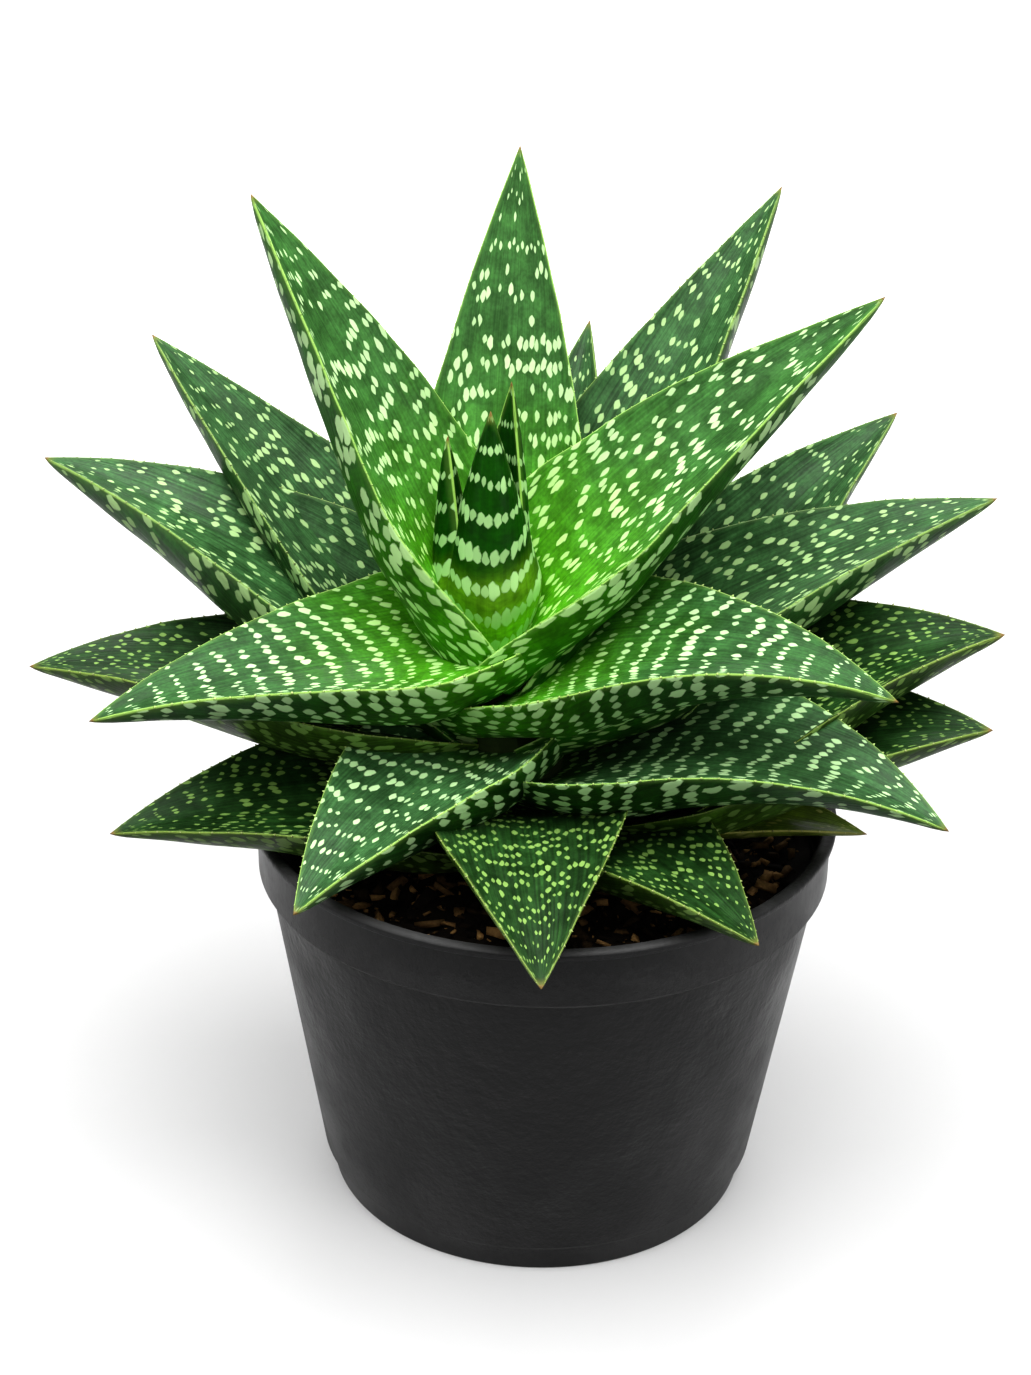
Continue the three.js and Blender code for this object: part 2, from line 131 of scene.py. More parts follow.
def soft_light(name, place, size, power):
    """A square light panel that faces the middle of the plant."""
    lamp = bpy.data.lights.new(name, "AREA")
    lamp.size = size
    lamp.energy = power
    panel = bpy.data.objects.new(name, lamp)
    aim = light_target - Vector(place)
    facing = aim.to_track_quat("-Z", "Y").to_matrix().to_4x4()
    panel.matrix_world = Matrix.Translation(place) @ facing
    bpy.context.scene.collection.objects.link(panel)


soft_light("overhead_panel", (0.0, -0.2, 1.2), 1.1, 25)
soft_light("left_panel", (-1.3, -0.7, 0.6), 0.8, 4)
soft_light("right_panel", (1.2, -0.9, 0.5), 0.8, 5)
soft_light("back_panel", (0.1, 1.3, 0.9), 0.8, 5)

world = bpy.data.worlds.new("studio")
world.use_nodes = True
bpy.context.scene.world = world
tree = world.node_tree
heading = wire(tree, "TexCoord", {}, out="Generated")
upward = wire(tree, "SeparateXYZ", {"Vector": heading}, out="Z")
from_horizon = fade(tree, upward, -0.3, 0.6, 0.1, 0.42)
tree.links.new(from_horizon, tree.nodes["Background"].inputs["Strength"])
tree.nodes["Background"].inputs["Color"].default_value = (1, 1, 1, 1)

floor_size = 5.0
sheet, tree, shader = finish("white_sheet", Base_Color=(0.42, 0.42, 0.42, 1), Roughness=0.8)
# Painted light: the sheet glows, faintly near the pot, where the glow only lightens the shadow there, and
# fully far off, where it keeps the sheet white.
shader.inputs["Emission Color"].default_value = (1, 1, 1, 1)
place = wire(tree, "TexCoord", {}, out="Object")
distance = wire(tree, "VectorMath", {0: place}, out="Value", operation="LENGTH")
painted_floor_glow = fade(tree, distance, 0.1, 0.8, 0.22, 1.0)
tree.links.new(painted_floor_glow, shader.inputs["Emission Strength"])
bm = bmesh.new()
bmesh.ops.create_grid(bm, x_segments=1, y_segments=1, size=floor_size)
floor = object_from("floor", bm, sheet)
floor.visible_diffuse = False


# Pot.
# A round six-inch nursery pot, thin black plastic moulded in one piece: a tapered wall, a set-in foot,
# a stepped band under a thin lip, and drain holes through the floor. Its skin is satin, slightly pitted
# and scuffed, with pale lines painted along the band's lower edge, the foot line and the lip: painted
# highlights where those edges catch the light.
pot_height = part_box("pot")[1].z
rim_radius = 0.076
lip_height = 0.0022
lip_width = 0.0026
band_radius = 0.0746
band_height = 0.0165
band_step = 0.0024
foot_radius = 0.0582
foot_height = 0.008
base_radius = 0.056
wall = 0.0018
floor_thickness = 0.0024
drain_count = 8
drain_radius = 0.0045
drain_circle = 0.040
drain_sides = 28
pot_sides = 176
body_top = pot_height - band_height
body_radius = band_radius - band_step
lip_bottom = pot_height - lip_height


def spun(profile, steps):
    """A round closed bmesh from (radius, height) points that start and end on the axis."""
    bm = bmesh.new()
    verts = [bm.verts.new((radius, 0, height)) for radius, height in profile]
    edges = [bm.edges.new(pair) for pair in zip(verts, verts[1:])]
    bmesh.ops.spin(
        bm, geom=verts + edges, cent=(0, 0, 0), axis=(0, 0, 1), angle=2 * math.pi, steps=steps,
        use_merge=True,
    )
    bmesh.ops.remove_doubles(bm, verts=bm.verts, dist=1e-6)
    bmesh.ops.dissolve_degenerate(bm, edges=bm.edges, dist=1e-7)
    bmesh.ops.recalc_face_normals(bm, faces=bm.faces)
    return bm


pot_profile = [
    (0, 0), (base_radius - 0.004, 0), (base_radius, 0.0004),
    (foot_radius - 0.0008, foot_height - 0.0008), (foot_radius, foot_height),
    (foot_radius + 0.0006, foot_height + 0.0008),
    (body_radius - 0.0002, body_top - 0.001), (body_radius, body_top),
    (band_radius - 0.0006, body_top + 0.0003), (band_radius, body_top + 0.0012),
    (band_radius, lip_bottom - 0.0004), (rim_radius - 0.0003, lip_bottom),
    (rim_radius, lip_bottom + 0.0004), (rim_radius, pot_height - 0.0006),
    (rim_radius - 0.0006, pot_height), (rim_radius - lip_width, pot_height),
    (band_radius - wall - 0.0006, pot_height - 0.0012),
    (band_radius - wall - 0.0006, body_top + 0.0006), (body_radius - wall, body_top - 0.0006),
    (foot_radius - wall, foot_height), (base_radius - wall, floor_thickness), (0, floor_thickness),
]
plastic, tree, shader = finish("black_nursery_plastic", Roughness=0.5, Specular_IOR_Level=0.2)
place = wire(tree, "TexCoord", {}, out="Object")
cloud = wire(tree, "TexNoise", {"Vector": place, "Scale": 34, "Detail": 5, "Roughness": 0.6})
fine = wire(tree, "TexNoise", {"Vector": place, "Scale": 520, "Detail": 3, "Roughness": 0.6})
dents = wire(tree, "TexNoise", {"Vector": place, "Scale": 120, "Detail": 2, "Roughness": 0.5})
upright = wire(tree, "Mapping", {"Vector": place, "Scale": (1.0, 1.0, 0.22)})
scuffs = wire(tree, "TexNoise", {"Vector": upright, "Scale": 260, "Detail": 5, "Roughness": 0.7})
scuffed = calc(tree, "MULTIPLY", fade(tree, scuffs, 0.56, 0.8), fade(tree, cloud, 0.45, 0.65))
dust = calc(tree, "MULTIPLY", fade(tree, fine, 0.55, 0.75), fade(tree, dents, 0.5, 0.7))
black = blend_colours(tree, cloud, (0.005, 0.005, 0.0051, 1), (0.009, 0.009, 0.0092, 1))
wear_and_edge_highlight = calc(tree, "MULTIPLY_ADD", scuffed, 0.12, calc(tree, "MULTIPLY", dust, 0.08))
above_floor = wire(tree, "SeparateXYZ", {"Vector": place}, out="Z")
# Painted highlights: thin pale lines painted along the band's lower edge, the foot line and the lip,
# standing in for the light these edges catch. They join the real scuffs and dust in one mask.
edges = ((body_top + 0.0006, 0.9), (foot_height + 0.0004, 0.7), (pot_height - 0.0002, 0.2))
for edge_height, most in edges:
    from_edge = calc(tree, "ABSOLUTE", calc(tree, "SUBTRACT", above_floor, edge_height))
    edge_highlight = fade(tree, cloud, 0.3, 0.6, 0.3 * most, most)
    edge_highlight = calc(tree, "MULTIPLY", fade(tree, from_edge, 0.0006, 0.0002), edge_highlight)
    wear_and_edge_highlight = calc(tree, "MAXIMUM", wear_and_edge_highlight, edge_highlight)
# Paler where scuffed and dusty, and along the painted edge highlights.
tone = blend_colours(tree, wear_and_edge_highlight, black, (0.16, 0.16, 0.158, 1))
tree.links.new(tone, shader.inputs["Base Color"])
satin = fade(tree, cloud, 0.3, 0.7, 0.32, 0.48)
tree.links.new(calc(tree, "ADD", satin, wear_and_edge_highlight), shader.inputs["Roughness"])
relief = calc(tree, "MULTIPLY_ADD", dents, 1.5, calc(tree, "MULTIPLY", fine, 0.9))
relief = calc(tree, "MULTIPLY_ADD", cloud, 1.0, relief)
bump = wire(tree, "Bump", {"Height": relief, "Strength": 0.4, "Distance": 0.0007})
tree.links.new(bump, shader.inputs["Normal"])

pot = object_from("nursery_pot", spun(pot_profile, pot_sides), plastic)
bm = bmesh.new()
for number in range(drain_count):
    angle = 2 * math.pi * (number + 0.5) / drain_count
    spot = Matrix.Translation((drain_circle * math.cos(angle), drain_circle * math.sin(angle), 0))
    bmesh.ops.create_cone(
        bm, cap_ends=True, segments=drain_sides, radius1=drain_radius, radius2=drain_radius,
        depth=4 * floor_thickness, matrix=spot,
    )
drains = object_from("drain_cutter", bm, plastic)
cut = pot.modifiers.new("drains", "BOOLEAN")
cut.object = drains
cut.operation = "DIFFERENCE"
cut.solver = "EXACT"
pierced = bpy.data.meshes.new_from_object(pot.evaluated_get(bpy.context.evaluated_depsgraph_get()))
pot.modifiers.clear()
pot.data = pierced
bpy.data.objects.remove(drains)
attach(pot, "root")
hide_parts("pot")


# Soil.
# Damp potting mix, nearly black, with bark chips and coir lying on and in it. It fills the pot to
# a finger's breadth under the lip.
soil_level = 0.097
soil_edge = body_radius - wall - 0.0006
chip_count = 760
chip_sizes = (0.0016, 0.0066)
grit_count = 900


def soil_relief(x, y):
    """Height of the soil's surface over its level: the solid's own waves, and fine crumbs."""
    waves = 0.0013 * math.sin(210 * x + 1) * math.cos(170 * y) + 0.0008 * math.sin(430 * x - 370 * y)
    crumbs = 0.0007 * noise.noise(Vector((x, y, 0.3)) * 330)
    grains = 0.0005 * noise.noise(Vector((x, y, 1.7)) * 900)
    return waves + crumbs + grains


soil_rings = 64
soil_sides = 180
soil_profile = [
    (0, floor_thickness + 0.0003), (base_radius - wall - 0.0006, floor_thickness + 0.0003),
    (foot_radius - wall - 0.0006, foot_height), (soil_edge, body_top - 0.0006), (soil_edge, soil_level),
] + [(soil_edge * (soil_rings - 1 - i) / soil_rings, soil_level) for i in range(soil_rings)]
bm = spun(soil_profile, soil_sides)
for vert in bm.verts:
    if vert.co.z > soil_level - 0.0003:
        vert.co.z = soil_level + soil_relief(vert.co.x, vert.co.y)
chip_tone = bm.verts.layers.float.new("chip_tone")
chance = random.Random(4)
golden_angle = math.pi * (3 - math.sqrt(5))
for number in range(chip_count + grit_count):
    is_grit = number >= chip_count
    angle = golden_angle * number
    if is_grit:
        distance = 0.02 + (soil_edge - 0.023) * chance.random() ** 0.7
        length = chance.uniform(0.0006, 0.0014)
    else:
        distance = 0.018 + (soil_edge - 0.022) * math.sqrt((number + 0.5) / chip_count)
        length = chance.uniform(*chip_sizes) * chance.uniform(0.5, 1.0)
    x = distance * math.cos(angle)
    y = distance * math.sin(angle)
    size = (length, length * chance.uniform(0.3, 0.7), length * chance.uniform(0.16, 0.4))
    turn = Matrix.Rotation(chance.uniform(0, 2 * math.pi), 4, "Z")
    turn = turn @ Matrix.Rotation(chance.gauss(0, 0.45), 4, "X")
    turn = turn @ Matrix.Rotation(chance.gauss(0, 0.4), 4, "Y")
    rest_height = soil_level + soil_relief(x, y) + 0.3 * size[2] + 0.0004 * chance.random()
    seat = Matrix.Translation((x, y, rest_height))
    made = bmesh.ops.create_cube(bm, size=1, matrix=seat @ turn @ Matrix.Diagonal((*size, 1)))
    colour = chance.random() ** (2.6 if is_grit else 2.0)
    for vert in made["verts"]:
        vert.co += noise.noise_vector(vert.co * 700) * 0.22 * length
        vert[chip_tone] = 0.08 + 0.92 * colour

soil_mix, tree, shader = finish("damp_potting_mix", Roughness=0.9, Specular_IOR_Level=0.15)
place = wire(tree, "TexCoord", {}, out="Object")
grain = wire(tree, "TexNoise", {"Vector": place, "Scale": 900, "Detail": 5, "Roughness": 0.7})
chip = wire(tree, "Attribute", {}, out="Fac", attribute_name="chip_tone")
peat = blend_colours(tree, grain, (0.0012, 0.0008, 0.0005, 1), (0.012, 0.007, 0.003, 1))
bark = blend_colours(tree, grain, (0.10, 0.05, 0.015, 1), (0.60, 0.36, 0.14, 1))
tone = blend_colours(tree, fade(tree, chip, 0.15, 0.95), peat, bark)
tree.links.new(tone, shader.inputs["Base Color"])
bump = wire(tree, "Bump", {"Height": grain, "Strength": 0.8, "Distance": 0.0006})
tree.links.new(bump, shader.inputs["Normal"])
soil = object_from("potting_soil", bm, soil_mix)
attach(soil, "root")
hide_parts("soil")


# Stem.
# The short fleshy stem that all the leaves clasp. It leans a little, and hardly any of it shows
# between them.
stem_skin, tree, shader = finish("stem_skin", Roughness=0.7, Specular_IOR_Level=0.2)
place = wire(tree, "TexCoord", {}, out="Object")
ringed = wire(tree, "Mapping", {"Vector": place, "Scale": (0.3, 0.3, 1.0)})
fibres = wire(tree, "TexNoise", {"Vector": ringed, "Scale": 300, "Detail": 4, "Roughness": 0.6})
tone = blend_colours(tree, fibres, (0.008, 0.02, 0.003, 1), (0.05, 0.08, 0.015, 1))
tree.links.new(tone, shader.inputs["Base Color"])
bump = wire(tree, "Bump", {"Height": fibres, "Strength": 0.5, "Distance": 0.0005})
tree.links.new(bump, shader.inputs["Normal"])
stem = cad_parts["stem"]
stem.data.materials.clear()
stem.data.materials.append(stem_skin)


# Leaf skin.
# Waxy succulent skin: dark green outside, lime where it is young or near the stem, with pale lens-shaped
# spots in crossing rows, faint lengthwise veins, a pale horny line along the margin, pale teeth and
# a brown tip.
spot_seed = 3
skin_roughness = 0.42
horn = (0.75, 0.72, 0.42, 1)
dry_tip = (0.20, 0.13, 0.04, 1)
fading_tip = (0.16, 0.17, 0.03, 1)


def lens_spots(tree, lane, row, rough, youth, under, grow, lane_width, pitch, spot_width, spot_length,
               jitter, share, clumping):
    """A mask of lens-shaped spots of varied strength, at most one in each lane of each row. They are
    slimmer and closer where youth is 1, longer where under is 1, and gather in clumps as far as clumping
    tells."""
    column = calc(tree, "FLOOR", calc(tree, "DIVIDE", lane, lane_width))
    key = wire(tree, "CombineXYZ", {"X": column, "Y": spot_seed})
    lane_chance = wire(tree, "TexWhiteNoise", {"Vector": key}, noise_dimensions="2D")
    shift = calc(tree, "MULTIPLY", calc(tree, "SUBTRACT", lane_chance, 0.5), jitter)
    shifted = calc(tree, "ADD", row, shift)
    band = calc(tree, "ROUND", calc(tree, "DIVIDE", shifted, pitch))
    band_middle = calc(tree, "MULTIPLY", band, pitch)
    key = wire(tree, "CombineXYZ", {"X": column, "Y": band, "Z": spot_seed})
    chances = wire(tree, "TexWhiteNoise", {"Vector": key}, out="Color", noise_dimensions="3D")
    parts = tree.nodes.new("ShaderNodeSeparateColor")
    tree.links.new(chances, parts.inputs[0])
    off_centre = calc(tree, "MULTIPLY_ADD", parts.outputs["Blue"], 0.3, 0.35)
    middle = calc(tree, "MULTIPLY", calc(tree, "ADD", column, off_centre), lane_width)
    size = calc(tree, "MULTIPLY", calc(tree, "MULTIPLY_ADD", parts.outputs["Green"], 0.55, 0.7), grow)
    half_width = fade(tree, youth, 0.0, 1.0, 0.5 * spot_width, 0.36 * spot_width)
    half_width = calc(tree, "MULTIPLY", size, half_width)
    half_length = fade(tree, under, 0.0, 1.0, 0.5 * spot_length, 0.62 * spot_length)
    half_length = calc(tree, "MULTIPLY", size, half_length)
    x = calc(tree, "DIVIDE", calc(tree, "SUBTRACT", lane, middle), half_width)
    y = calc(tree, "DIVIDE", calc(tree, "SUBTRACT", shifted, band_middle), half_length)
    reach = calc(tree, "MULTIPLY_ADD", y, y, calc(tree, "ABSOLUTE", x))
    ragged = calc(tree, "MULTIPLY_ADD", calc(tree, "SUBTRACT", rough, 0.5), 0.45, reach)
    inside = fade(tree, ragged, 1.2, 0.8)
    key = wire(tree, "CombineXYZ", {"X": middle, "Y": band_middle})
    clump = wire(tree, "TexNoise", {"Vector": key, "Scale": 110, "Detail": 0}, noise_dimensions="2D")
    limit = calc(tree, "MULTIPLY_ADD", calc(tree, "SUBTRACT", clump, 0.5), clumping, share)
    limit = calc(tree, "MULTIPLY_ADD", youth, 0.25, limit)
    present = calc(tree, "LESS_THAN", parts.outputs["Red"], limit)
    strength = calc(tree, "MULTIPLY_ADD", parts.outputs["Green"], 0.3, 0.7)
    return calc(tree, "MULTIPLY", calc(tree, "MULTIPLY", inside, present), strength)


def leaf_skin(name, face, base, base_reach, spot, base_spot, back, margin_line, rows, veining=0.3,
              base_under=0.45, gleam=0.2, swell=0.4):
    """face: blade colour. base: colour at the stem, fading out over base_reach metres. spot, base_spot:
    spot colours far from and near the stem. back: underside colour near the stem; on most skins it is
    darker than face, as painted shade under the blades. rows: sizes of the rows of spots, as lens_spots
    takes them. veining: how strongly the veins show. base_under: the base colour's share on the
    underside. gleam: how strongly the wax reflects.
    swell: how much the underside's spots grow toward the margin."""
    material, tree, shader = finish(name, Roughness=skin_roughness, Specular_IOR_Level=gleam)
    lane, row, along, margin, tip, under, tooth = (
        wire(tree, "Attribute", {}, out="Fac", attribute_name=layer)
        for layer in ("lane", "row", "along", "margin", "tip", "under", "tooth")
    )
    on_skin = wire(tree, "CombineXYZ", {"X": lane, "Y": row})

    def skin_noise(scale, detail, out=0, across=1.0, down=1.0):
        key = wire(tree, "VectorMath", {0: on_skin, 1: (across, down, 1)}, operation="MULTIPLY")
        values = {"Vector": key, "Scale": scale, "Detail": detail}
        return wire(tree, "TexNoise", values, out=out, noise_dimensions="2D")

    def pushed(value, channel, noise_colour, reach):
        parts = tree.nodes.new("ShaderNodeSeparateColor")
        tree.links.new(noise_colour, parts.inputs[0])
        centred = calc(tree, "SUBTRACT", parts.outputs[channel], 0.5)
        return calc(tree, "MULTIPLY_ADD", centred, reach, value)

    drift = skin_noise(70, 1, out="Color")
    wobble = skin_noise(330, 1, out="Color")
    grain = skin_noise(900, 3)
    lane_now = pushed(pushed(lane, "Red", drift, 0.0010), "Red", wobble, 0.0009)
    row_now = pushed(pushed(row, "Green", drift, 0.0036), "Green", wobble, 0.0012)
    clouds = skin_noise(60, 2)
    patches = skin_noise(190, 3)
    youth = fade(tree, calc(tree, "MULTIPLY_ADD", clouds, 0.03, along), base_reach + 0.015, 0.015)
    near_margin = fade(tree, margin, 0.007, 0.0015)
    grow_under = calc(tree, "MULTIPLY_ADD", calc(tree, "MULTIPLY", near_margin, under), swell, 1.0)
    grow = calc(tree, "MULTIPLY", grow_under, fade(tree, tip, 0.006, 0.05, 0.6, 1.0))
    spots = lens_spots(tree, lane_now, row_now, grain, youth, under, grow, **rows)

    veins = skin_noise(1.0, 2, across=1300.0, down=14.0)
    youth = calc(tree, "MULTIPLY", youth, fade(tree, under, 0.0, 1.0, 1.0, base_under))
    # Painted shade: the underside takes the back colour, fully near the stem and fading to under half of it
    # farther out; on most skins back is darker than face.
    shaded = calc(tree, "MULTIPLY", under, fade(tree, along, 0.04, 0.11, 1.0, 0.45))
    skin = blend_colours(tree, shaded, face, back)
    skin = blend_colours(tree, youth, skin, base)
    shade = fade(tree, veins, 0.25, 0.75, 1 - veining, 1 + 0.7 * veining)
    shade = calc(tree, "MULTIPLY", shade, fade(tree, grain, 0.3, 0.7, 0.86, 1.12))
    shade = calc(tree, "MULTIPLY", shade, fade(tree, clouds, 0.3, 0.7, 0.8, 1.16))
    shade = calc(tree, "MULTIPLY", shade, fade(tree, patches, 0.3, 0.7, 0.78, 1.2))
    shades = wire(tree, "CombineXYZ", {"X": shade, "Y": shade, "Z": shade})
    skin = blend_colours(tree, 1.0, skin, shades, mode="MULTIPLY")
    pale = blend_colours(tree, youth, spot, base_spot)
    skin = blend_colours(tree, spots, skin, pale)
    skin = blend_colours(tree, fade(tree, margin, 0.0012, 0.0002, 0.0, 0.12), skin, margin_line)
    skin = blend_colours(tree, fade(tree, margin, 0.00022, 0.00005), skin, margin_line)
    skin = blend_colours(tree, fade(tree, tip, 0.0035, 0.0012, 0.0, 0.6), skin, fading_tip)
    skin = blend_colours(tree, fade(tree, tip, 0.0016, 0.0008), skin, dry_tip)
    tooth_colour = blend_colours(tree, 0.25, margin_line, horn)
    skin = blend_colours(tree, tooth, skin, tooth_colour)
    tree.links.new(skin, shader.inputs["Base Color"])
    relief = calc(tree, "MULTIPLY_ADD", grain, 0.3, calc(tree, "MULTIPLY", veins, 0.8))
    relief = calc(tree, "MULTIPLY_ADD", patches, 0.8, relief)
    relief = calc(tree, "MULTIPLY_ADD", spots, 0.12, relief)
    bump = wire(tree, "Bump", {"Height": relief, "Strength": 0.3, "Distance": 0.0005})
    tree.links.new(bump, shader.inputs["Normal"])
    gloss = fade(tree, patches, 0.3, 0.7, skin_roughness - 0.06, skin_roughness + 0.1)
    tree.links.new(gloss, shader.inputs["Roughness"])
    return material


skins = {
    "heart": leaf_skin(
        # The heart's lime base and base spots are its own colour, painted brighter to stand in for light
        # shining through the young leaf deep in the funnel: partly painted light.
        "heart_leaf_skin", face=(0.005, 0.055, 0.001, 1), base=(0.34, 0.74, 0.03, 1), base_reach=0.036,
        spot=(0.36, 0.60, 0.25, 1), base_spot=(0.55, 0.85, 0.32, 1), back=(0.004, 0.047, 0.0003, 1),
        margin_line=(0.28, 0.50, 0.10, 1), veining=0.15, base_under=1.0, gleam=0.08, swell=0.0,
        rows=dict(lane_width=0.00145, pitch=0.0084, spot_width=0.0020, spot_length=0.0038, jitter=0.0010,
                  share=1.0, clumping=0.0)),
    "inner": leaf_skin(
        "inner_leaf_skin", face=(0.039, 0.125, 0.028, 1), base=(0.085, 0.36, 0.002, 1), base_reach=0.085,
        spot=(0.52, 0.76, 0.38, 1), base_spot=(0.44, 0.76, 0.18, 1), back=(0.008, 0.070, 0.001, 1),
        margin_line=(0.30, 0.52, 0.12, 1), veining=0.22, gleam=0.15,
        rows=dict(lane_width=0.0018, pitch=0.0062, spot_width=0.0016, spot_length=0.0034, jitter=0.0034,
                  share=0.55, clumping=1.2)),
    "front": leaf_skin(
        "front_leaf_skin", face=(0.031, 0.100, 0.026, 1), base=(0.085, 0.36, 0.002, 1), base_reach=0.075,
        spot=(0.50, 0.74, 0.38, 1), base_spot=(0.46, 0.78, 0.20, 1), back=(0.005, 0.042, 0.0005, 1),
        margin_line=(0.30, 0.50, 0.11, 1), veining=0.25, gleam=0.15,
        rows=dict(lane_width=0.0021, pitch=0.0064, spot_width=0.0017, spot_length=0.0027, jitter=0.0020,
                  share=0.82, clumping=0.5)),
    "apron": leaf_skin(
        "apron_leaf_skin", face=(0.036, 0.104, 0.033, 1), base=(0.04, 0.18, 0.004, 1), base_reach=0.03,
        spot=(0.48, 0.72, 0.36, 1), base_spot=(0.44, 0.70, 0.22, 1), back=(0.006, 0.042, 0.001, 1),
        margin_line=(0.30, 0.50, 0.11, 1), veining=0.3,
        rows=dict(lane_width=0.0021, pitch=0.0064, spot_width=0.0018, spot_length=0.0029, jitter=0.0026,
                  share=0.76, clumping=0.7)),
    "middle": leaf_skin(
        "middle_leaf_skin", face=(0.036, 0.105, 0.032, 1), base=(0.03, 0.18, 0.004, 1), base_reach=0.05,
        spot=(0.40, 0.60, 0.26, 1), base_spot=(0.38, 0.58, 0.18, 1), back=(0.012, 0.060, 0.004, 1),
        margin_line=(0.22, 0.36, 0.09, 1), veining=0.35,
        rows=dict(lane_width=0.0021, pitch=0.0058, spot_width=0.0017, spot_length=0.0028, jitter=0.0040,
                  share=0.56, clumping=1.2)),
    "lower": leaf_skin(
        "lower_leaf_skin", face=(0.013, 0.047, 0.009, 1), base=(0.012, 0.06, 0.003, 1), base_reach=0.03,
        spot=(0.21, 0.36, 0.09, 1), base_spot=(0.20, 0.36, 0.06, 1), back=(0.035, 0.085, 0.006, 1),
        margin_line=(0.20, 0.30, 0.06, 1), veining=0.4,
        rows=dict(lane_width=0.0018, pitch=0.0044, spot_width=0.0015, spot_length=0.0024, jitter=0.0045,
                  share=0.62, clumping=1.0)),
    "yellow": leaf_skin(
        "old_leaf_skin", face=(0.08, 0.13, 0.012, 1), base=(0.10, 0.12, 0.02, 1), base_reach=0.03,
        spot=(0.26, 0.28, 0.08, 1), base_spot=(0.26, 0.28, 0.08, 1), back=(0.12, 0.16, 0.02, 1),
        margin_line=(0.30, 0.30, 0.08, 1), veining=0.3,
        rows=dict(lane_width=0.0021, pitch=0.0052, spot_width=0.0018, spot_length=0.0025, jitter=0.0052,
                  share=0.4, clumping=0.8)),
}


